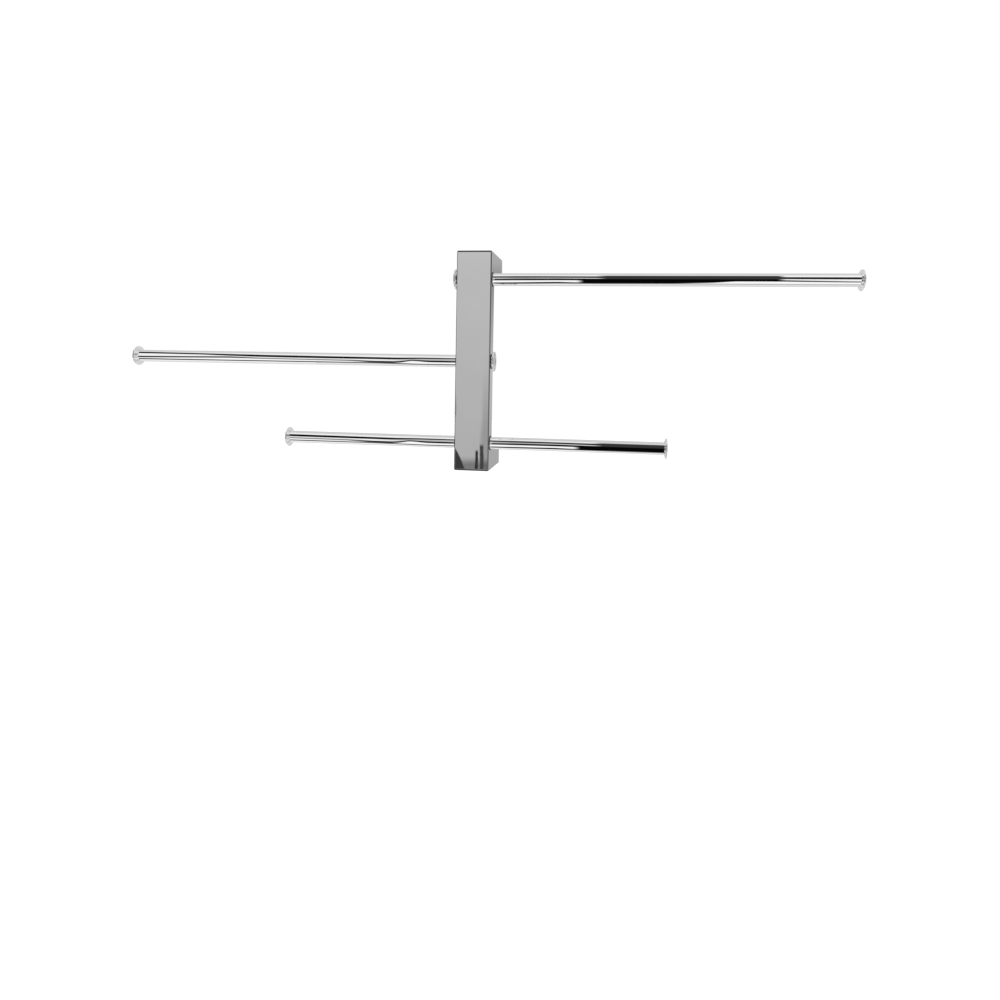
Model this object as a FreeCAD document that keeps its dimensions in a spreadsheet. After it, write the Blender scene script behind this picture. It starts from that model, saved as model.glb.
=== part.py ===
"""A wall-mounted towel rack whose horizontal rails slide sideways through a bridge-shaped post.

The frame has X along the rails, Y into the wall and Z up. Its origin is on the wall plane,
midway between the two wall screws. All sizes are in millimetres and live in the sheet "sizes".
"""
import FreeCAD, Part
import os

import Sketcher
from FreeCAD import Placement, Rotation, Vector

SIZES = {
    # the post: an upright bar in front, with a leg back to the wall at each end
    "post_height": 225.0,
    "post_width": 36.0,
    "post_reach": 67.0,
    "bar_depth": 18.0,
    "leg_height": 25.0,
    "corner_radius": 2.2,
    "edge_radius": 1.1,
    "body_wall": 3.0,
    "socket_depth": 46.0,
    "web_height": 22.0,
    # the plates that close the two cored pockets behind the bar
    "cover_thickness": 1.5,
    "cover_ledge": 1.2,
    "fit_gap": 0.3,
    # the rails and where each one is parked
    "rail_pitch": 84.0,
    "rail_diameter": 12.7,
    "rail_wall": 1.0,
    "rail_length": 398.5,
    "lower_parking": -2.0,
    "stop_gap": 0.3,
    # the spool-shaped end caps, each screwed into a plug in the tube's end
    "collar_diameter": 15.0,
    "collar_length": 0.8,
    "flange_diameter": 20.5,
    "flange_length": 1.8,
    "rim_radius": 0.8,
    "dish_diameter": 14.0,
    "dish_depth": 0.3,
    "stud_diameter": 5.0,
    "stud_length": 8.0,
    "plug_length": 12.0,
    # the guide bushes and the friction rings between them
    "running_gap": 0.05,
    "bush_wall": 0.7,
    "bush_lip": 0.5,
    "lip_diameter": 15.2,
    "ring_width": 4.0,
    # the plates screwed to the wall, which the legs slip over
    "plate_thickness": 3.0,
    "tongue_length": 16.0,
    "screw_hole_diameter": 5.2,
    "grub_diameter": 4.0,
    "grub_key": 2.0,
    "grub_setback": 9.0,
    "grub_sink": 0.4,
}

# sizes that follow from the ones above
DERIVED = {
    "leg_centre": "post_height / 2 - leg_height / 2",
    "rail_setback": "post_reach - bar_depth / 2",
    "bar_back": "post_reach - bar_depth",
    "socket_width": "post_width - 2 * body_wall",
    "socket_height": "leg_height - 2 * body_wall",
    "pocket_height": "rail_pitch - web_height",
    "pocket_depth": "bar_depth - body_wall",
    "cap_length": "collar_length + flange_length",
    "tube_length": "rail_length - 2 * cap_length",
    "bore_radius": "rail_diameter / 2 + running_gap",
    "bush_radius": "bore_radius + bush_wall",
    "bush_length": "(post_width - ring_width) / 2",
    "travel": "tube_length / 2 - post_width / 2 - bush_lip - stop_gap",
}

# each rail's height and parking place, as expressions in the sheet's names
RAILS = {
    "top": ("sizes.rail_pitch", "sizes.travel"),
    "middle": ("0", "-sizes.travel"),
    "lower": ("-sizes.rail_pitch", "sizes.lower_parking"),
}
SIDES = {"left": -1, "right": 1}
ENDS = {"upper": 1, "lower": -1}

doc = FreeCAD.newDocument("towel_rack")
pieces = []


def make_sheet():
    """Write the driving and the derived sizes, one row each, with an alias beside each value."""
    sheet = doc.addObject("Spreadsheet::Sheet", "sizes")
    row = 0
    for name, value in SIZES.items():
        row += 1
        sheet.set(f"A{row}", name)
        sheet.set(f"B{row}", str(value))
        sheet.setAlias(f"B{row}", name)
    for name, formula in DERIVED.items():
        row += 1
        sheet.set(f"A{row}", name)
        sheet.set(f"B{row}", "=" + formula)
        sheet.setAlias(f"B{row}", name)
    doc.recompute()


def place(item, x="0", y="0", z="0", rotation=None):
    """Give a sub-part its place, each coordinate bound to an expression."""
    if rotation is not None:
        item.Placement = Placement(Vector(), rotation)
    for axis, expression in (("x", x), ("y", y), ("z", z)):
        if expression != "0":
            item.setExpression(f"Placement.Base.{axis}", expression)


def new_body(label):
    """Start a sub-part made of sketches and features."""
    body = doc.addObject("PartDesign::Body", label)
    body.Label = label
    pieces.append(body)
    return body


def new_sketch(body, name, plane, offset=None):
    """Add a sketch on one of the body's own origin planes, moved along its normal by an offset."""
    sketch = body.newObject("Sketcher::SketchObject", name)
    support = [item for item in body.Origin.OriginFeatures if item.Role == plane][0]
    sketch.AttachmentSupport = [(support, "")]
    sketch.MapMode = "FlatFace"
    if offset is not None:
        sketch.setExpression("AttachmentOffset.Base.z", offset)
    return sketch


def pin_point(sketch, geometry, end, across, along):
    """Hold one sketch point at two expressions, each measured from the sketch's origin."""
    for kind, axis, expression in (("DistanceX", -2, across), ("DistanceY", -1, along)):
        value = float(sketch.evalExpression(expression))
        if abs(value) < 1e-9:
            sketch.addConstraint(Sketcher.Constraint("PointOnObject", geometry, end, axis))
            continue
        index = sketch.addConstraint(Sketcher.Constraint(kind, -1, 1, geometry, end, value))
        sketch.setExpression(f"Constraints[{index}]", expression)


def draw_polygon(sketch, points):
    """Draw a closed outline whose corners are pairs of expressions."""
    corners = []
    for across, along in points:
        x = float(sketch.evalExpression(across))
        y = float(sketch.evalExpression(along))
        corners.append(Vector(x, y, 0))
    first = sketch.GeometryCount
    count = len(corners)
    for number in range(count):
        line = Part.LineSegment(corners[number], corners[(number + 1) % count])
        sketch.addGeometry(line, False)
    for number in range(count):
        following = first + (number + 1) % count
        sketch.addConstraint(Sketcher.Constraint("Coincident", first + number, 2, following, 1))
    for number, (across, along) in enumerate(points):
        pin_point(sketch, first + number, 1, across, along)


def draw_rectangle(sketch, left, right, bottom, top):
    """Draw a rectangle between four expressions."""
    draw_polygon(sketch, [(left, bottom), (right, bottom), (right, top), (left, top)])


def draw_circle(sketch, across, along, radius):
    """Draw a circle whose centre and radius are expressions."""
    centre = Vector(float(sketch.evalExpression(across)), float(sketch.evalExpression(along)), 0)
    size = float(sketch.evalExpression(radius))
    circle = sketch.addGeometry(Part.Circle(centre, Vector(0, 0, 1), size), False)
    pin_point(sketch, circle, 3, across, along)
    index = sketch.addConstraint(Sketcher.Constraint("Radius", circle, size))
    sketch.setExpression(f"Constraints[{index}]", radius)


def pad_both_ways(body, sketch, name, length):
    """Pad a sketch by the same amount on both sides of its plane."""
    pad = body.newObject("PartDesign::Pad", name)
    pad.Profile = sketch
    pad.SideType = "Symmetric"
    pad.setExpression("Length", length)
    doc.recompute()
    return pad


def cut_pocket(body, sketch, name, length=None):
    """Cut along the sketch's normal by a length, or right through both ways, and prove that it cut."""
    before = body.Shape.Volume
    pocket = body.newObject("PartDesign::Pocket", name)
    pocket.Profile = sketch
    if length is None:
        pocket.Type = "ThroughAll"
        pocket.SideType = "Symmetric"
    else:
        pocket.Reversed = True
        pocket.setExpression("Length", length)
    doc.recompute()
    if body.Shape.Volume > before - 1:
        raise RuntimeError(f"{body.Label}: {name} removed nothing")
    return pocket


def round_edges(body, feature, name, radius, wanted):
    """Fillet the edges of a feature that the given test picks."""
    doc.recompute()
    edges = []
    for number, edge in enumerate(feature.Shape.Edges, 1):
        if wanted(edge):
            edges.append(f"Edge{number}")
    fillet = body.newObject("PartDesign::Fillet", name)
    fillet.Base = (feature, edges)
    fillet.setExpression("Radius", radius)
    doc.recompute()
    return fillet


def turned_body(label, outline):
    """Make a round piece by turning an outline of (along the axis, radius) corners about X."""
    body = new_body(label)
    sketch = new_sketch(body, label + "_outline", "XY_Plane")
    draw_polygon(sketch, outline)
    turned = body.newObject("PartDesign::Revolution", label + "_turned")
    turned.Profile = sketch
    turned.ReferenceAxis = (sketch, ["H_Axis"])
    turned.Angle = 360
    doc.recompute()
    return body, turned


def facing(side):
    """Turn a piece made for the right-hand side so that it faces the given side."""
    return Rotation(Vector(0, 0, 1), 0 if side > 0 else 180)


def make_bridge():
    """The cast post: one hollow piece, shaped like a staple lying against the wall."""
    body = new_body("bridge_body")
    profile = new_sketch(body, "bridge_side", "YZ_Plane")
    half = "sizes.post_height / 2"
    inner = "sizes.post_height / 2 - sizes.leg_height"
    draw_polygon(profile, [
        ("0", half),
        ("-sizes.post_reach", half),
        ("-sizes.post_reach", f"-({half})"),
        ("0", f"-({half})"),
        ("0", f"-({inner})"),
        ("-sizes.bar_back", f"-({inner})"),
        ("-sizes.bar_back", inner),
        ("0", inner),
    ])
    pad = pad_both_ways(body, profile, "bridge_pad", "sizes.post_width")
    corners = round_edges(body, pad, "bridge_corners", "sizes.corner_radius", is_corner)
    round_edges(body, corners, "bridge_edges", "sizes.edge_radius", is_side_edge)

    sockets = new_sketch(body, "leg_sockets", "XZ_Plane")
    for sign in ENDS.values():
        middle = f"{sign} * sizes.leg_centre"
        draw_rectangle(
            sockets,
            "-sizes.socket_width / 2",
            "sizes.socket_width / 2",
            f"{middle} - sizes.socket_height / 2",
            f"{middle} + sizes.socket_height / 2",
        )
    cut_pocket(body, sockets, "leg_sockets_cut", "sizes.socket_depth")

    cores = new_sketch(body, "bar_cores", "XZ_Plane", "sizes.bar_back")
    ledges = new_sketch(body, "cover_ledges", "XZ_Plane", "sizes.bar_back")
    for sign in ENDS.values():
        middle = f"{sign} * sizes.rail_pitch / 2"
        draw_rectangle(
            cores,
            "-sizes.socket_width / 2",
            "sizes.socket_width / 2",
            f"{middle} - sizes.pocket_height / 2",
            f"{middle} + sizes.pocket_height / 2",
        )
        draw_rectangle(
            ledges,
            "-sizes.socket_width / 2 - sizes.cover_ledge",
            "sizes.socket_width / 2 + sizes.cover_ledge",
            f"{middle} - sizes.pocket_height / 2 - sizes.cover_ledge",
            f"{middle} + sizes.pocket_height / 2 + sizes.cover_ledge",
        )
    cut_pocket(body, cores, "bar_cores_cut", "sizes.pocket_depth")
    cut_pocket(body, ledges, "cover_ledges_cut", "sizes.cover_thickness")

    bores = new_sketch(body, "rail_bores", "YZ_Plane")
    for height, _ in RAILS.values():
        draw_circle(bores, "-sizes.rail_setback", height, "sizes.bush_radius + sizes.running_gap")
    cut_pocket(body, bores, "rail_bores_cut")

    for name, sign in ENDS.items():
        floor = f"{sign} * sizes.leg_centre - sizes.leg_height / 2"
        hole = new_sketch(body, f"{name}_grub_hole", "XY_Plane", floor)
        radius = "sizes.grub_diameter / 2 + sizes.running_gap"
        draw_circle(hole, "0", "-sizes.grub_setback", radius)
        cut_pocket(body, hole, f"{name}_grub_hole_cut", "sizes.body_wall")


def is_corner(edge):
    """True for an edge of the post that runs along the rails, away from the wall."""
    first, last = edge.Vertexes[0].Point, edge.Vertexes[-1].Point
    return abs(first.x - last.x) > 1 and first.y < -0.001


def is_side_edge(edge):
    """True for an edge round one of the post's two flat sides, away from the wall."""
    first, last = edge.Vertexes[0].Point, edge.Vertexes[-1].Point
    side = SIZES["post_width"] / 2
    on_side = abs(abs(first.x) - side) < 0.001 and abs(first.x - last.x) < 0.001
    return on_side and min(first.y, last.y) < -0.001


def make_rear_covers():
    """Thin plates set into the back of the bar, over its two cored pockets."""
    for name, sign in ENDS.items():
        cover = doc.addObject("Part::Box", f"rear_cover_{name}")
        cover.Label = f"rear_cover_{name}"
        width = "(sizes.socket_width + 2 * sizes.cover_ledge - sizes.fit_gap)"
        height = "(sizes.pocket_height + 2 * sizes.cover_ledge - sizes.fit_gap)"
        cover.setExpression("Length", width)
        cover.setExpression("Width", "sizes.cover_thickness")
        cover.setExpression("Height", height)
        place(
            cover,
            f"-{width} / 2",
            "-sizes.bar_back - sizes.cover_thickness",
            f"{sign} * sizes.rail_pitch / 2 - {height} / 2",
        )
        pieces.append(cover)


def make_wall_plates():
    """Angle plates: the upright is screwed to the wall, the tongue carries the leg's grub screw."""
    half_height = "(sizes.socket_height / 2 - sizes.fit_gap)"
    for name, sign in ENDS.items():
        body = new_body(f"wall_plate_{name}")
        profile = new_sketch(body, f"wall_plate_{name}_side", "YZ_Plane")
        draw_polygon(profile, [
            ("0", half_height),
            ("-sizes.plate_thickness", half_height),
            ("-sizes.plate_thickness", f"sizes.plate_thickness - {half_height}"),
            ("-sizes.tongue_length", f"sizes.plate_thickness - {half_height}"),
            ("-sizes.tongue_length", f"-{half_height}"),
            ("0", f"-{half_height}"),
        ])
        width = "sizes.socket_width - 2 * sizes.fit_gap"
        pad_both_ways(body, profile, f"wall_plate_{name}_pad", width)
        hole = new_sketch(body, f"wall_plate_{name}_hole", "XZ_Plane")
        draw_circle(hole, "0", "0", "sizes.screw_hole_diameter / 2")
        cut_pocket(body, hole, f"wall_plate_{name}_hole_cut", "sizes.plate_thickness")
        place(body, z=f"{sign} * sizes.leg_centre")


def make_grub_screws():
    """Socket set screws, one up through the floor of each leg to the tongue behind it."""
    rise = "(sizes.body_wall + sizes.fit_gap - sizes.grub_sink)"
    for name, sign in ENDS.items():
        shank = doc.addObject("Part::Cylinder", f"grub_{name}_shank")
        shank.setExpression("Radius", "sizes.grub_diameter / 2")
        shank.setExpression("Height", rise)
        key = doc.addObject("Part::Prism", f"grub_{name}_key")
        key.Polygon = 6
        key.setExpression("Circumradius", "sizes.grub_key / sqrt(3)")
        key.setExpression("Height", f"{rise} / 2")
        screw = doc.addObject("Part::Cut", f"grub_screw_{name}")
        screw.Label = f"grub_screw_{name}"
        screw.Base = shank
        screw.Tool = key
        place(
            screw,
            "0",
            "-sizes.grub_setback",
            f"{sign} * sizes.leg_centre - sizes.leg_height / 2 + sizes.grub_sink",
        )
        pieces.append(screw)


def make_bushes(rail, height):
    """A lipped nylon bush in each side of the post, with a rubber friction ring between them."""
    for side, sign in SIDES.items():
        body, _ = turned_body(f"guide_bush_{rail}_{side}", [
            ("-sizes.bush_length", "sizes.bore_radius"),
            ("-sizes.bush_length", "sizes.bush_radius"),
            ("0", "sizes.bush_radius"),
            ("0", "sizes.lip_diameter / 2"),
            ("sizes.bush_lip", "sizes.lip_diameter / 2"),
            ("sizes.bush_lip", "sizes.bore_radius"),
        ])
        place(body, f"{sign} * sizes.post_width / 2", "-sizes.rail_setback", height, facing(sign))
    half = "(sizes.ring_width / 2 - sizes.running_gap)"
    ring, _ = turned_body(f"friction_ring_{rail}", [
        (f"-{half}", "sizes.bore_radius"),
        (f"-{half}", "sizes.bush_radius"),
        (half, "sizes.bush_radius"),
        (half, "sizes.bore_radius"),
    ])
    place(ring, "0", "-sizes.rail_setback", height)


def make_rail(rail, height, parking):
    """A rail: its tube, a plug pressed into each end, and a cap screwed to each plug."""
    bore = "(sizes.rail_diameter / 2 - sizes.rail_wall)"
    tube, _ = turned_body(f"rail_tube_{rail}", [
        ("-sizes.tube_length / 2", bore),
        ("-sizes.tube_length / 2", "sizes.rail_diameter / 2"),
        ("sizes.tube_length / 2", "sizes.rail_diameter / 2"),
        ("sizes.tube_length / 2", bore),
    ])
    place(tube, parking, "-sizes.rail_setback", height)
    for side, sign in SIDES.items():
        end = f"{parking} + {sign} * sizes.tube_length / 2"
        plug, _ = turned_body(f"cap_plug_{rail}_{side}", [
            ("-sizes.plug_length", "sizes.stud_diameter / 2"),
            ("-sizes.plug_length", f"{bore} - sizes.running_gap / 2"),
            ("0", f"{bore} - sizes.running_gap / 2"),
            ("0", "sizes.stud_diameter / 2"),
        ])
        place(plug, end, "-sizes.rail_setback", height, facing(sign))
        make_cap(f"end_cap_{rail}_{side}", end, height, sign)


def make_cap(label, end, height, sign):
    """A spool-shaped cap: a stud into the plug, a collar against the tube, then a wider flange."""
    stud = "sizes.stud_diameter / 2 - sizes.running_gap / 2"
    cap, turned = turned_body(label, [
        ("-sizes.stud_length", "0"),
        ("-sizes.stud_length", stud),
        ("0", stud),
        ("0", "sizes.collar_diameter / 2"),
        ("sizes.collar_length", "sizes.collar_diameter / 2"),
        ("sizes.collar_length", "sizes.flange_diameter / 2"),
        ("sizes.cap_length", "sizes.flange_diameter / 2"),
        ("sizes.cap_length", "sizes.dish_diameter / 2"),
        ("sizes.cap_length - sizes.dish_depth", "sizes.dish_diameter / 2 - sizes.dish_depth"),
        ("sizes.cap_length - sizes.dish_depth", "0"),
    ])
    rim = SIZES["flange_diameter"] / 2
    round_edges(cap, turned, label + "_rim", "sizes.rim_radius", lambda edge: is_ring(edge, rim))
    place(cap, end, "-sizes.rail_setback", height, facing(sign))


def is_ring(edge, radius):
    """True for a circular edge of the given radius."""
    return isinstance(edge.Curve, Part.Circle) and abs(edge.Curve.Radius - radius) < 0.001


def check_document():
    """Stop if any object failed, or if a sub-part's shape is missing or invalid."""
    doc.recompute()
    for item in doc.Objects:
        if "Invalid" in item.State or "Error" in item.State:
            raise RuntimeError(f"{item.Name} did not compute: {item.State}")
    for piece in pieces:
        shape = piece.Shape
        if shape.isNull() or not shape.isValid() or len(shape.Solids) != 1:
            raise RuntimeError(f"{piece.Label} is not one valid solid")


def export_pieces():
    """Write one STEP file per sub-part, named after its label."""
    os.makedirs("parts", exist_ok=True)
    for piece in pieces:
        piece.Shape.exportStep(f"parts/{piece.Label}.step")


make_sheet()
make_bridge()
make_rear_covers()
make_wall_plates()
make_grub_screws()
for rail_name, (rail_height, rail_parking) in RAILS.items():
    make_bushes(rail_name, rail_height)
    make_rail(rail_name, rail_height, rail_parking)
check_document()
export_pieces()
for piece in pieces:
    box = piece.Shape.BoundBox
    print(f"{piece.Label}: {piece.Shape.Volume:.1f} mm3, x {box.XMin:.2f} to {box.XMax:.2f}, "
          f"y {box.YMin:.2f} to {box.YMax:.2f}, z {box.ZMin:.2f} to {box.ZMax:.2f}")
print(len(pieces), "sub-parts")
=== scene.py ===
"""The look of the sliding towel rack: chrome post and rails, black bushes, a studio to mirror."""
import math

import bpy
from mathutils import Matrix, Vector


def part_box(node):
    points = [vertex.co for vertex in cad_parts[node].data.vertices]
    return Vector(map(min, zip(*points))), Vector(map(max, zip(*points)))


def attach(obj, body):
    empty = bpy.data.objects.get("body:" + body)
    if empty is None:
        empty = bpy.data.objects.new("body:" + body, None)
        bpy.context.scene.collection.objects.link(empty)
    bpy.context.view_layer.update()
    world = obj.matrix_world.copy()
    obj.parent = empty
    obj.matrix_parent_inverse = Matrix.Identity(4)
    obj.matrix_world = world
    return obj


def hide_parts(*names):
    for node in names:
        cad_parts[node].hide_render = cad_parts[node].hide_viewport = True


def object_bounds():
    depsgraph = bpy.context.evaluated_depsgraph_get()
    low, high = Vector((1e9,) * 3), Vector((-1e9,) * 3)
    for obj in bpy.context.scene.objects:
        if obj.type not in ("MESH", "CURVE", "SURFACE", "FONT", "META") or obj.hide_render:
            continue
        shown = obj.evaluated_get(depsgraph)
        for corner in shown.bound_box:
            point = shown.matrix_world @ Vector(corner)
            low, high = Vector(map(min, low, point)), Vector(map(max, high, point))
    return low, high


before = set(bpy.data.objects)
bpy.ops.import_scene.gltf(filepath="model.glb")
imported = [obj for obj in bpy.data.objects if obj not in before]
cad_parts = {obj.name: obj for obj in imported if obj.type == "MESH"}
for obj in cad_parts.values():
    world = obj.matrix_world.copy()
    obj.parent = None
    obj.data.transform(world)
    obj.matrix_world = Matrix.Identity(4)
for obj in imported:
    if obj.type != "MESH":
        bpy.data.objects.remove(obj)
cad_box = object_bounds()

MM = 0.001
RAILS = ("top", "middle", "lower")
SIDES = {"left": -1, "right": 1}
scene = bpy.context.scene

# sizes of the turned pieces, in millimetres; the rest comes from the CAD nodes' boxes
TUBE_WALL = 1.0
DISH_RADIUS = 7.0
DISH_SLOPE = 0.5
DISH_DEPTH = 0.3
FLANGE_LENGTH = 1.8
RIM_RADIUS = 0.8
COLLAR_LENGTH = 0.8
COLLAR_RADIUS = 7.5
STUD_RADIUS = 2.5
STUD_CHAMFER = 0.4
BUSH_BORE = 6.4
BUSH_SLEEVE = 7.1
BUSH_LIP = 0.5

# corner radii of the turned pieces, and how near a corner shading is held true, in millimetres
TUBE_EDGE = 0.15
DISH_FLOOR_EDGE = 0.15
CREASE = 0.12
COLLAR_EDGE = 0.2
LIP_EDGE = 0.25
SLEEVE_EDGE = 0.15
SUPPORT_DISTANCE = 0.25

# the studio's floor, in metres
FLOOR_DROP = 0.9
FLOOR_HALF = 12.0

# Directions in the studio. side is a direction's share along X. height is its angle in degrees about
# the X axis: 0 towards the camera, 90 up, 180 behind the rack and -90 down.
HALF_TURN = 180

# how bright the panels are round the rack: (height, brightness)
PANELS = [
    (-180, 0.55),
    (-172, 0.40),
    (-150, 0.60),
    (-115, 0.85),
    (-93, 1.00),
    (-30, 1.05),
    (-8, 0.95),
    (8, 0.95),
    (28, 1.00),
    (62, 1.00),
    (84, 0.85),
    (105, 0.64),
    (150, 0.68),
    (168, 0.50),
    (172.3, 0.40),
    (172.9, 0.27),
    (180, 0.50),
]

# Three dark gaps between the panels, which wander from left to right. Each has (side, value) stops for
# the height of its centre, its half width and the brightness in it, and the width of its soft edges.
GAPS = [
    {
        "centre": [
            (-0.58, 64), (-0.53, 55), (-0.50, 44), (-0.46, 34), (-0.40, 30), (-0.30, 27), (-0.27, 40),
            (-0.10, 44), (0.22, 28), (0.30, 26)],
        "half": [
            (-0.58, 15), (-0.53, 13), (-0.50, 16), (-0.47, 19), (-0.40, 19), (-0.31, 17), (-0.27, 12),
            (-0.20, 9), (-0.14, 14), (-0.08, 14), (0.20, 16), (0.30, 17)],
        "level": [
            (-0.66, 0.50), (-0.59, 0.01), (-0.53, 0.03), (-0.50, 0.01), (-0.30, 0.01), (-0.27, 0.04),
            (-0.08, 0.04), (0.20, 0.01), (0.31, 0.01), (0.38, 0.50)],
        "soft": 5,
    },
    {
        "centre": [
            (-0.58, -20), (-0.50, 0), (-0.46, -15), (-0.36, -24), (-0.325, -44), (-0.30, -42), (-0.28, 0),
            (-0.26, -17), (-0.23, -18), (-0.14, -5), (-0.08, 0), (0.20, -18), (0.30, -37)],
        "half": [
            (-0.58, 12), (-0.50, 11), (-0.46, 8), (-0.36, 10), (-0.32, 17), (-0.30, 15), (-0.28, 9),
            (-0.26, 14), (-0.23, 14), (-0.20, 9), (-0.14, 14), (-0.08, 15), (0.24, 10), (0.30, 9)],
        "level": [
            (-0.66, 0.50), (-0.59, 0.01), (-0.54, 0.05), (-0.50, 0.03), (-0.46, 0.26), (-0.37, 0.26),
            (-0.325, 0.01), (-0.30, 0.02), (-0.28, 0.08), (-0.26, 0.01), (-0.23, 0.01), (-0.14, 0.03),
            (-0.08, 0.01), (0.24, 0.06), (0.30, 0.20), (0.38, 0.60)],
        "soft": 5,
    },
    {
        "centre": [
            (-0.60, -66), (-0.33, -66), (-0.26, -82), (-0.14, -73), (-0.08, -64), (0.0, -80), (0.30, -95)],
        "half": [(-0.60, 11), (-0.50, 9), (-0.20, 9), (-0.14, 13), (-0.08, 14), (0.0, 9)],
        "level": [
            (-0.66, 0.50), (-0.60, 0.04), (-0.40, 0.05), (-0.30, 0.15), (-0.25, 0.06), (-0.08, 0.01),
            (0.0, 0.3), (0.15, 0.50)],
        "soft": 6,
    },
]

# the two thin dark streaks at the post's foot: (side, height of the top, half width, brightness)
STREAKS = ((-0.1884, -7.1, 0.0015, 0.035), (-0.1815, -6.65, 0.0020, 0.06))


# ---------------------------------------------------------------- node helpers

def link(tree, value, socket):
    """Feed a socket from another socket, or set it to a plain value."""
    if isinstance(value, bpy.types.NodeSocket):
        tree.links.new(value, socket)
    else:
        socket.default_value = value


def math_node(tree, operation, *values):
    """A Math node on sockets or numbers; gives its output socket."""
    node = tree.nodes.new("ShaderNodeMath")
    node.operation = operation
    for number, value in enumerate(values):
        link(tree, value, node.inputs[number])
    return node.outputs[0]


def smooth_step(tree, value, low, high, start=0.0, end=1.0):
    """Go smoothly from start to end while a value goes from low to high."""
    node = tree.nodes.new("ShaderNodeMapRange")
    node.interpolation_type = "SMOOTHSTEP"
    link(tree, value, node.inputs["Value"])
    link(tree, low, node.inputs["From Min"])
    link(tree, high, node.inputs["From Max"])
    link(tree, start, node.inputs["To Min"])
    link(tree, end, node.inputs["To Max"])
    return node.outputs["Result"]


def ramp(tree, value, stops):
    """A grey ramp through (position, brightness) stops."""
    node = tree.nodes.new("ShaderNodeValToRGB")
    elements = node.color_ramp.elements
    while len(elements) < len(stops):
        elements.new(0.5)
    for element, (position, brightness) in zip(elements, stops):
        element.position = position
        element.color = (brightness, brightness, brightness, 1)
    link(tree, value, node.inputs["Fac"])
    return node.outputs["Color"]


def colour_mix(tree, factor, first, second):
    """Go from the first colour to the second one by a factor."""
    node = tree.nodes.new("ShaderNodeMix")
    node.data_type = "RGBA"
    link(tree, factor, node.inputs["Factor"])
    link(tree, first, node.inputs["A"])
    link(tree, second, node.inputs["B"])
    return node.outputs["Result"]


def noise(tree, coords, scale, detail=3.0, stretch=(1, 1, 1)):
    """Noise on object coordinates, each axis stretched by its own factor."""
    mapping = tree.nodes.new("ShaderNodeMapping")
    mapping.inputs["Scale"].default_value = stretch
    tree.links.new(coords, mapping.inputs["Vector"])
    node = tree.nodes.new("ShaderNodeTexNoise")
    node.inputs["Scale"].default_value = scale
    node.inputs["Detail"].default_value = detail
    tree.links.new(mapping.outputs[0], node.inputs["Vector"])
    return node.outputs[0]


# ---------------------------------------------------------------- the studio

def falling_step(tree, value, low, high):
    """Go smoothly from one to nothing while a value goes from low to high."""
    return smooth_step(tree, value, low, high, 1.0, 0.0)


def product(tree, first, *others):
    """Two or more values multiplied together."""
    for other in others:
        first = math_node(tree, "MULTIPLY", first, other)
    return first


def at_side(tree, side, stops, reach=1.0):
    """A value that follows (side, value) stops from left to right; values lie within plus or minus reach."""
    places = [(0.5 + where / 2, 0.5 + value / reach / 2) for where, value in stops]
    spread = math_node(tree, "MULTIPLY_ADD", side, 0.5, 0.5)
    level = ramp(tree, spread, places)
    return math_node(tree, "MULTIPLY_ADD", level, 2 * reach, -reach)


def band(tree, value, centre, half, soft):
    """One within half of a centre, going smoothly to nothing over soft."""
    offset = math_node(tree, "SUBTRACT", value, centre)
    away = math_node(tree, "ABSOLUTE", offset)
    edge = math_node(tree, "ADD", half, soft)
    return falling_step(tree, away, half, edge)


def darken(tree, light, mask, left):
    """Where the mask is one, only the part of the light called left stays."""
    lost = product(tree, mask, math_node(tree, "SUBTRACT", 1.0, left))
    return product(tree, light, math_node(tree, "SUBTRACT", 1.0, lost))


def repaint(tree, light, mask, level):
    """Where the mask is one, the light is level instead."""
    change = math_node(tree, "SUBTRACT", level, light)
    return math_node(tree, "MULTIPLY_ADD", change, mask, light)


def panel_light(tree, side, height, turn):
    """The soft panels round the rack."""
    light = ramp(tree, turn, [(angle / 360 + 0.5, level) for angle, level in PANELS])

    # behind the rack it is brighter to the far left and right than beside the post
    outward = smooth_step(tree, math_node(tree, "ABSOLUTE", side), 0.2, 0.3)
    behind = smooth_step(tree, math_node(tree, "ABSOLUTE", height), 150, 165)
    light = repaint(tree, light, product(tree, outward, behind), 0.72)

    # the room is greyer straight ahead of the post
    ahead = product(tree, band(tree, side, -0.197, 0.06, 0.08), band(tree, height, 5, 18, 9))
    return repaint(tree, light, ahead, 0.55)


def add_gaps(tree, light, side, height):
    """The dark gaps between the panels."""
    for gap in GAPS:
        centre = at_side(tree, side, gap["centre"], HALF_TURN)
        half = at_side(tree, side, gap["half"], HALF_TURN)
        level = at_side(tree, side, gap["level"])
        light = repaint(tree, light, band(tree, height, centre, half, gap["soft"]), level)
    return light


def add_figure(tree, light, side, height):
    """A dark figure opposite the rails: a foot that rises to the right, shoulders and a narrower head."""
    foot = at_side(tree, side, [(0.08, -75), (0.13, -60), (0.16, -33)], HALF_TURN)
    above_foot = math_node(tree, "SUBTRACT", height, foot)
    below_head = falling_step(tree, height, 62, 82)
    shoulder = falling_step(tree, height, 8, 18)
    body = math_node(tree, "MAXIMUM", shoulder, smooth_step(tree, side, -0.03, -0.01))
    width = band(tree, side, 0.085, 0.128, 0.012)
    figure = product(tree, width, body, smooth_step(tree, above_foot, -6, 4), below_head)
    return repaint(tree, light, figure, smooth_step(tree, height, -2, 14, 0.002, 0.04))


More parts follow.
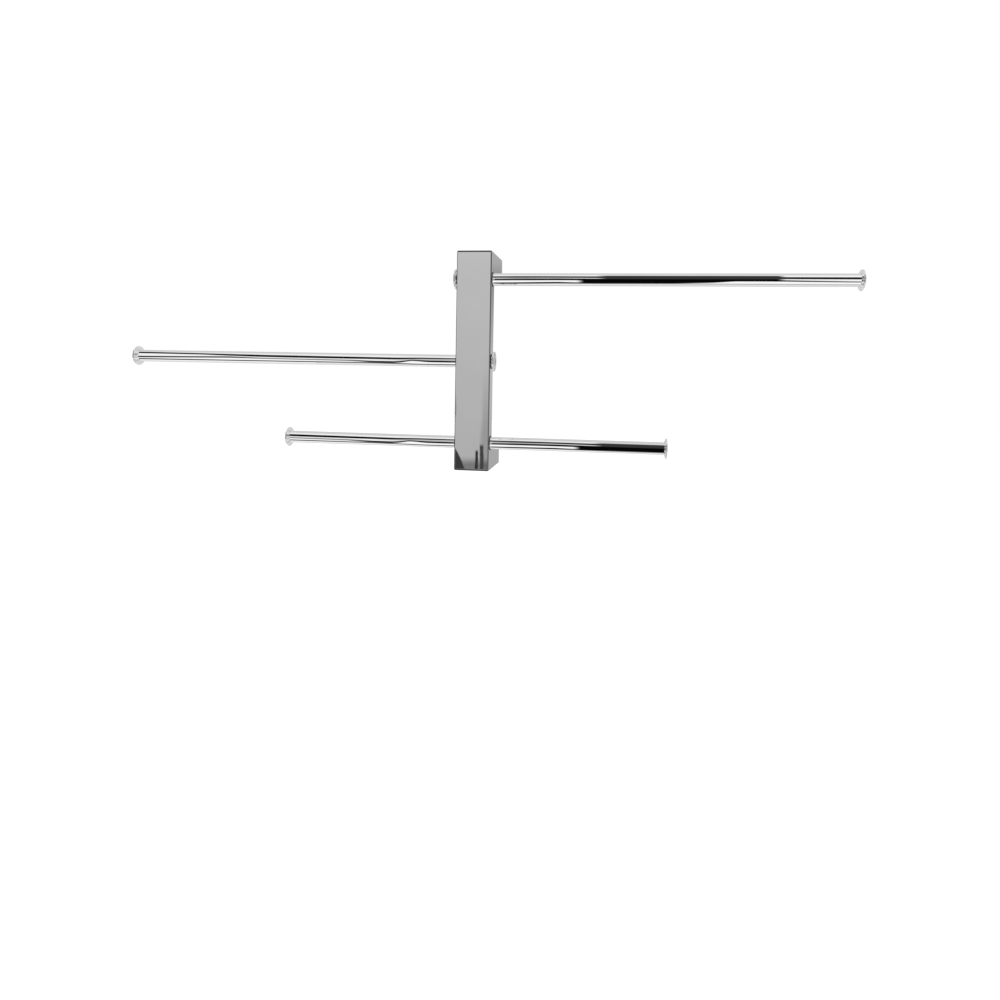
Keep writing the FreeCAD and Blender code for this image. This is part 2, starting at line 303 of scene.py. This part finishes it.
def add_post_front(tree, light, side, height, turn):
    """What the post's flat front mirrors: an even grey, and darker shapes at its foot."""
    in_front = band(tree, side, -0.1945, 0.026, 0.001)
    grey = ramp(tree, turn, [(0.46, 0.44), (0.527, 0.56), (0.534, 0.85)])
    light = repaint(tree, light, product(tree, in_front, band(tree, height, 0, 16, 4)), grey)
    dusk = band(tree, height, -8.7, 0.5, 0.7)
    light = darken(tree, light, product(tree, dusk, in_front), 0.45)

    # a dark wedge at the foot's left
    above_floor = smooth_step(tree, height, -12, -10)
    wedge_edge = math_node(tree, "MULTIPLY_ADD", height, -0.0092, -0.2815)
    wedge = falling_step(tree, math_node(tree, "SUBTRACT", side, wedge_edge), -0.0006, 0.0006)
    low = falling_step(tree, height, -6.6, -6.5)
    light = repaint(tree, light, product(tree, wedge, low, above_floor, in_front), 0.045)

    # a dim doorway at its right, with two streaks in it
    door = product(tree, smooth_step(tree, side, -0.186, -0.179), band(tree, height, -12, 6, 7))
    light = darken(tree, light, product(tree, door, in_front), 0.72)
    for where, top, half, level in STREAKS:
        streak = band(tree, side, where, half, 0.0009)
        below = falling_step(tree, height, top - 0.15, top + 0.15)
        light = repaint(tree, light, product(tree, streak, below, above_floor), level)
    return light


def dim_far_ends(tree, light, side, upward):
    """Dim the far left and right at the rack's own level, which draws arcs on the caps' rims."""
    level_with = band(tree, upward, 0, 0.22, 0.12)
    far = smooth_step(tree, math_node(tree, "ABSOLUTE", side), 0.64, 0.80)
    return darken(tree, light, product(tree, far, level_with), 0.28)


def make_world():
    """The studio: plain white to the camera, and panels, gaps and dark shapes for the chrome to mirror."""
    world = bpy.data.worlds.new("studio")
    world.use_nodes = True
    scene.world = world
    tree = world.node_tree
    tree.nodes.clear()
    coords = tree.nodes.new("ShaderNodeTexCoord")
    split = tree.nodes.new("ShaderNodeSeparateXYZ")
    tree.links.new(coords.outputs["Generated"], split.inputs[0])
    side = split.outputs["X"]
    upward = split.outputs["Z"]
    toward_room = product(tree, split.outputs["Y"], -1.0)
    radians = math_node(tree, "ARCTAN2", upward, toward_room)
    height = product(tree, radians, 180 / math.pi)
    turn = math_node(tree, "MULTIPLY_ADD", height, 1 / 360, 0.5)

    light = panel_light(tree, side, height, turn)
    light = add_gaps(tree, light, side, height)
    light = add_figure(tree, light, side, height)
    light = add_post_front(tree, light, side, height, turn)
    light = dim_far_ends(tree, light, side, upward)

    path = tree.nodes.new("ShaderNodeLightPath")
    seen = tree.nodes.new("ShaderNodeMix")
    seen.data_type = "FLOAT"
    link(tree, path.outputs["Is Camera Ray"], seen.inputs["Factor"])
    link(tree, light, seen.inputs["A"])
    seen.inputs["B"].default_value = 1.0
    background = tree.nodes.new("ShaderNodeBackground")
    tree.links.new(seen.outputs[0], background.inputs["Color"])
    output = tree.nodes.new("ShaderNodeOutputWorld")
    tree.links.new(background.outputs[0], output.inputs["Surface"])


def make_floor():
    """A plain pale floor, well below the rack."""
    half = FLOOR_HALF
    low = cad_box[0][2] - FLOOR_DROP
    mesh = bpy.data.meshes.new("floor")
    corners = [(-half, -half, low), (half, -half, low), (half, half, low), (-half, half, low)]
    mesh.from_pydata(corners, [], [(0, 1, 2, 3)])
    floor = bpy.data.objects.new("floor", mesh)
    scene.collection.objects.link(floor)
    material = bpy.data.materials.new("pale_floor")
    material.use_nodes = True
    shader = material.node_tree.nodes["Principled BSDF"]
    shader.inputs["Base Color"].default_value = (0.9, 0.9, 0.9, 1)
    shader.inputs["Roughness"].default_value = 0.9
    shader.inputs["Emission Color"].default_value = (1, 1, 1, 1)
    shader.inputs["Emission Strength"].default_value = 0.55
    mesh.materials.append(material)
    floor.visible_glossy = False


def make_camera():
    """The camera: right of the post, looking back to the left and slightly down.

    Its place, aim, lens and shift come from a least-squares fit of the rack's outline to the photo.
    """
    yaw, pitch, roll = 0.1315, -0.0366, 0.0182
    place = Vector((141.96, -770.87, -4.32)) * MM
    forward = Vector((-math.sin(yaw) * math.cos(pitch), math.cos(yaw) * math.cos(pitch), math.sin(pitch)))
    level = Vector((math.cos(yaw), math.sin(yaw), 0))
    upright = level.cross(forward)
    right = level * math.cos(roll) + upright * math.sin(roll)
    up = upright * math.cos(roll) - level * math.sin(roll)
    data = bpy.data.cameras.new("camera")
    data.sensor_width = 36
    data.lens = 25.27
    data.shift_x = -0.0196
    data.shift_y = -0.108
    data.clip_start = 0.01
    data.clip_end = 60
    camera = bpy.data.objects.new("camera", data)
    turn = Matrix((right, up, -forward)).transposed()
    camera.matrix_world = Matrix.Translation(place) @ turn.to_4x4()
    scene.collection.objects.link(camera)
    scene.camera = camera


# ---------------------------------------------------------------- materials

def new_material(name):
    """A material with its shader and its object coordinates: (material, tree, shader, coordinates)."""
    material = bpy.data.materials.new(name)
    material.use_nodes = True
    tree = material.node_tree
    coords = tree.nodes.new("ShaderNodeTexCoord")
    return material, tree, tree.nodes["Principled BSDF"], coords.outputs["Object"]


def add_bump(tree, shader, height, distance, strength=1.0):
    """Raise the surface by a height map, in metres."""
    node = tree.nodes.new("ShaderNodeBump")
    node.inputs["Strength"].default_value = strength
    node.inputs["Distance"].default_value = distance
    tree.links.new(height, node.inputs["Height"])
    tree.links.new(node.outputs[0], shader.inputs["Normal"])


def from_axis(tree, coords):
    """The distance from a turned piece's own X axis."""
    split = tree.nodes.new("ShaderNodeSeparateXYZ")
    tree.links.new(coords, split.inputs[0])
    across = math_node(tree, "POWER", split.outputs["Y"], 2.0)
    upward = math_node(tree, "POWER", split.outputs["Z"], 2.0)
    return math_node(tree, "SQRT", math_node(tree, "ADD", across, upward))


def painted_edge_reflection(tree):
    """A painted dark reflection for the rounded edges of a boxy piece, and the mask of those edges: (colour,
    mask).

    It stands in for the thin dark lines that such edges mirror, so it isn't the plate's real colour.
    """
    coords = tree.nodes.new("ShaderNodeTexCoord")
    split = tree.nodes.new("ShaderNodeSeparateXYZ")
    tree.links.new(coords.outputs["Normal"], split.inputs[0])
    squareness = 0.0
    for axis in "XYZ":
        along = math_node(tree, "ABSOLUTE", split.outputs[axis])
        squareness = math_node(tree, "MAXIMUM", squareness, along)
    sideways = math_node(tree, "ABSOLUTE", split.outputs["X"])
    upright = smooth_step(tree, sideways, 0.0, 0.3)
    # painted reflection: edges whose normal leans along X get a lighter dark grey than those whose normal
    # lies across X
    painted_reflection_colour = colour_mix(tree, upright, (0.07, 0.07, 0.075, 1), (0.25, 0.25, 0.26, 1))
    return painted_reflection_colour, falling_step(tree, squareness, 0.97, 0.998)


def polished_casting():
    """Chrome plate over a polished casting: nearly a mirror, faintly wiped, with a dark reflection painted
    on its edges.
    """
    material, tree, shader, coords = new_material("chrome_casting")
    shader.inputs["Metallic"].default_value = 1.0
    cloud = noise(tree, coords, 30, 4)
    tone = colour_mix(tree, cloud, (0.86, 0.86, 0.875, 1), (0.93, 0.925, 0.93, 1))
    # painted reflection: the rounded edges get a dark colour standing in for the dark lines they mirror
    painted_reflection_colour, edges = painted_edge_reflection(tree)
    tone = colour_mix(tree, edges, tone, painted_reflection_colour)
    link(tree, tone, shader.inputs["Base Color"])
    wipe = noise(tree, coords, 90, 5, (1.0, 1.0, 0.18))
    fine = noise(tree, coords, 900, 2)
    haze = math_node(tree, "MULTIPLY_ADD", fine, 0.012, smooth_step(tree, wipe, 0.55, 0.85, 0.004, 0.035))
    link(tree, haze, shader.inputs["Roughness"])
    swell = noise(tree, coords, 22, 1)
    peel = noise(tree, coords, 500, 1)
    relief = math_node(tree, "MULTIPLY_ADD", peel, 0.01, swell)
    add_bump(tree, shader, relief, 0.00005)
    return material


def drawn_tube():
    """Chrome plate on drawn tube: fine lines along its length and rubbed bands where it slides."""
    material, tree, shader, coords = new_material("chrome_tube")
    shader.inputs["Metallic"].default_value = 1.0
    cloud = noise(tree, coords, 45, 3)
    tone = colour_mix(tree, cloud, (0.88, 0.88, 0.89, 1), (0.95, 0.95, 0.95, 1))
    link(tree, tone, shader.inputs["Base Color"])
    lines = noise(tree, coords, 1600, 2, (0.01, 1.0, 1.0))
    rubs = noise(tree, coords, 120, 4, (0.35, 1.0, 1.0))
    haze = math_node(tree, "MULTIPLY_ADD", lines, 0.02, smooth_step(tree, rubs, 0.55, 0.8, 0.005, 0.05))
    link(tree, haze, shader.inputs["Roughness"])
    add_bump(tree, shader, lines, 0.0000004)
    return material


def turned_cap():
    """Chrome plate on a turned cap: fine rings about its axis."""
    material, tree, shader, coords = new_material("chrome_cap")
    shader.inputs["Metallic"].default_value = 1.0
    cloud = noise(tree, coords, 160, 3)
    tone = colour_mix(tree, cloud, (0.87, 0.87, 0.885, 1), (0.94, 0.94, 0.945, 1))
    link(tree, tone, shader.inputs["Base Color"])
    rings = math_node(tree, "SINE", math_node(tree, "MULTIPLY", from_axis(tree, coords), 22000.0))
    haze = math_node(tree, "MULTIPLY_ADD", rings, 0.008, smooth_step(tree, cloud, 0.45, 0.8, 0.02, 0.07))
    link(tree, haze, shader.inputs["Roughness"])
    add_bump(tree, shader, rings, 0.0000003)
    return material


def moulded(name, dark, light, rough, grain_scale, grain_depth):
    """A moulded plastic or rubber with a fine grain."""
    material, tree, shader, coords = new_material(name)
    cloud = noise(tree, coords, 60, 4)
    link(tree, colour_mix(tree, cloud, dark, light), shader.inputs["Base Color"])
    grain = noise(tree, coords, grain_scale, 2)
    haze = math_node(tree, "MULTIPLY_ADD", grain, 0.16, rough - 0.08)
    link(tree, haze, shader.inputs["Roughness"])
    add_bump(tree, shader, grain, grain_depth)
    return material


def bare_metal(name, dark, light, rough, flake_scale, stretch):
    """A metal without polish: flakes or tool marks in its colour, gloss and surface."""
    material, tree, shader, coords = new_material(name)
    shader.inputs["Metallic"].default_value = 1.0
    flakes = noise(tree, coords, flake_scale, 4, stretch)
    link(tree, colour_mix(tree, flakes, dark, light), shader.inputs["Base Color"])
    haze = math_node(tree, "MULTIPLY_ADD", flakes, 0.25, rough - 0.12)
    link(tree, haze, shader.inputs["Roughness"])
    add_bump(tree, shader, flakes, 0.00002, 0.6)
    return material


def make_materials():
    """One material for each of the record's slots."""
    return {
        "chrome_casting": polished_casting(),
        "chrome_tube": drawn_tube(),
        "chrome_cap": turned_cap(),
        "cover_plastic": moulded(
            "cover_plastic", (0.020, 0.021, 0.023, 1), (0.035, 0.036, 0.038, 1), 0.48, 1400, 0.00006),
        "bush_nylon": moulded(
            "bush_nylon", (0.006, 0.006, 0.007, 1), (0.014, 0.014, 0.015, 1), 0.36, 2600, 0.00001),
        "ring_rubber": moulded(
            "ring_rubber", (0.012, 0.012, 0.012, 1), (0.022, 0.021, 0.020, 1), 0.75, 1800, 0.00003),
        "plated_steel": bare_metal(
            "plated_steel", (0.50, 0.52, 0.55, 1), (0.66, 0.67, 0.66, 1), 0.34, 320, (1, 1, 1)),
        "screw_steel": bare_metal(
            "screw_steel", (0.035, 0.035, 0.038, 1), (0.09, 0.088, 0.085, 1), 0.42, 900, (1, 1, 1)),
        "plug_brass": bare_metal(
            "plug_brass", (0.62, 0.43, 0.17, 1), (0.76, 0.57, 0.26, 1), 0.30, 600, (8, 1, 1)),
    }


# ---------------------------------------------------------------- turned pieces

def soften(outline):
    """Round an outline's corners: takes (along, radius, corner radius), gives (along, radius) points."""
    points = []
    count = len(outline)
    for number, (along, radius, corner) in enumerate(outline):
        here = Vector((along, radius))
        if corner == 0:
            points.append(here)
            continue
        before = Vector(outline[number - 1][:2]) - here
        after = Vector(outline[(number + 1) % count][:2]) - here
        opening = before.angle(after)
        reach = corner / math.tan(opening / 2)
        inward = (before.normalized() + after.normalized()).normalized()
        middle = here + inward * corner / math.sin(opening / 2)
        start = here + before.normalized() * reach - middle
        end = here + after.normalized() * reach - middle
        swing = start.angle_signed(end)
        steps = 6
        for step in range(steps + 1):
            angle = -swing * step / steps
            turned = Vector((
                start.x * math.cos(angle) - start.y * math.sin(angle),
                start.x * math.sin(angle) + start.y * math.cos(angle),
            ))
            points.append(middle + turned)
    return [(point.x, point.y) for point in points]


def add_supports(outline, closed):
    """Put a point near each end of every long straight run, so that shading stays true along it."""
    near = SUPPORT_DISTANCE * MM
    points = []
    following = outline[1:] + outline[:1]
    for number, (first, second) in enumerate(zip(outline, following)):
        points.append(first)
        if not closed and number == len(outline) - 1:
            continue
        start = Vector(first)
        run = Vector(second) - start
        if run.length < 3 * near:
            continue
        step = run.normalized() * near
        points.append(tuple(start + step))
        points.append(tuple(start + run - step))
    return points


def lathe(name, outline, centre, closed, sides=128):
    """Turn an outline of (along, radius) pairs about the X axis through a centre.

    A closed outline makes a ring. An open one starts and ends on the axis.
    """
    outline = add_supports(outline, closed)
    vertices = []
    rows = []
    for along, radius in outline:
        if radius < 1e-7:
            rows.append([len(vertices)])
            vertices.append((along, 0, 0))
            continue
        rows.append(list(range(len(vertices), len(vertices) + sides)))
        for step in range(sides):
            angle = 2 * math.pi * step / sides
            vertices.append((along, radius * math.cos(angle), radius * math.sin(angle)))
    pairs = list(zip(rows, rows[1:]))
    if closed:
        pairs.append((rows[-1], rows[0]))
    faces = []
    for first, second in pairs:
        for step in range(sides):
            following = (step + 1) % sides
            corners = [first[step % len(first)], first[following % len(first)]]
            corners += [second[following % len(second)], second[step % len(second)]]
            faces.append(tuple(dict.fromkeys(corners)))
    mesh = bpy.data.meshes.new(name)
    mesh.from_pydata(vertices, [], faces)
    mesh.validate()
    mesh.polygons.foreach_set("use_smooth", [True] * len(mesh.polygons))
    mesh.update()
    piece = bpy.data.objects.new(name, mesh)
    piece.location = centre
    scene.collection.objects.link(piece)
    flip_outward(mesh)
    return piece


def flip_outward(mesh):
    """Turn the faces round if the closed surface holds a negative volume."""
    volume = 0.0
    for polygon in mesh.polygons:
        first, *rest = [mesh.vertices[index].co for index in polygon.vertices]
        for second, third in zip(rest, rest[1:]):
            volume += first.dot(second.cross(third))
    if volume < 0:
        mesh.flip_normals()


def finish_piece(piece, node, body, slot):
    """Give a turned piece its finish and its body, and have it stand for a CAD node."""
    piece.data.materials.append(materials[slot])
    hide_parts(node)
    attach(piece, body)


def axis_of(node):
    """A turned node's centre, half its length and its outer radius."""
    low, high = (Vector(corner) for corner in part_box(node))
    return (low + high) / 2, (high.x - low.x) / 2, (high.z - low.z) / 2


def make_rail_tube(rail):
    """A thin tube with broken edges at its ends."""
    node = f"rail_tube_{rail}"
    centre, half, outer = axis_of(node)
    inner = outer - TUBE_WALL * MM
    edge = TUBE_EDGE * MM
    outline = soften([
        (-half, inner, edge),
        (-half, outer, edge),
        (half, outer, edge),
        (half, inner, edge),
    ])
    piece = lathe(f"{rail}_rail_tube", outline, centre, closed=True)
    finish_piece(piece, node, f"{rail}_rail", "chrome_tube")


def make_cap(rail, side):
    """A spool-shaped cap: dished face, rounded rim, collar and stud, turned from one bar."""
    node = f"end_cap_{rail}_{side}"
    centre, half, outer = axis_of(node)
    out = SIDES[side]
    length = 2 * half

    def at(depth):
        """A place at a depth below the cap's outer face."""
        return out * (half - depth * MM)

    shoulder = FLANGE_LENGTH + COLLAR_LENGTH
    outline = soften([
        (at(DISH_DEPTH), 0.0, 0.0),
        (at(DISH_DEPTH), (DISH_RADIUS - DISH_SLOPE) * MM, DISH_FLOOR_EDGE * MM),
        (at(0.0), DISH_RADIUS * MM, CREASE * MM),
        (at(0.0), outer, RIM_RADIUS * MM),
        (at(FLANGE_LENGTH), outer, RIM_RADIUS * MM),
        (at(FLANGE_LENGTH), COLLAR_RADIUS * MM, CREASE * MM),
        (at(shoulder), COLLAR_RADIUS * MM, COLLAR_EDGE * MM),
        (at(shoulder), STUD_RADIUS * MM, 0.0),
        (out * (half - length + STUD_CHAMFER * MM), STUD_RADIUS * MM, 0.0),
        (out * (half - length), (STUD_RADIUS - STUD_CHAMFER) * MM, 0.0),
        (out * (half - length), 0.0, 0.0),
    ])
    piece = lathe(f"{rail}_cap_{side}", outline, centre, closed=False, sides=96)
    finish_piece(piece, node, f"{rail}_rail", "chrome_cap")


def make_bush(rail, side):
    """A sleeve in the post with a thin lip that covers the hole's edge."""
    node = f"guide_bush_{rail}_{side}"
    centre, half, outer = axis_of(node)
    out = SIDES[side]
    inner = BUSH_BORE * MM
    sleeve = BUSH_SLEEVE * MM
    lip = out * (half - BUSH_LIP * MM)
    outline = soften([
        (out * half, inner, SLEEVE_EDGE * MM),
        (out * half, outer, LIP_EDGE * MM),
        (lip, outer, 0.0),
        (lip, sleeve, 0.0),
        (-out * half, sleeve, SLEEVE_EDGE * MM),
        (-out * half, inner, SLEEVE_EDGE * MM),
    ])
    piece = lathe(f"{rail}_bush_{side}", outline, centre, closed=True, sides=96)
    finish_piece(piece, node, "bridge", "bush_nylon")


make_world()
make_camera()
make_floor()
scene.view_settings.view_transform = "Standard"
materials = make_materials()
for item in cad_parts.values():
    for place in item.material_slots:
        place.material = materials[place.material.name]
for rail in RAILS:
    make_rail_tube(rail)
    for side in SIDES:
        make_cap(rail, side)
        make_bush(rail, side)
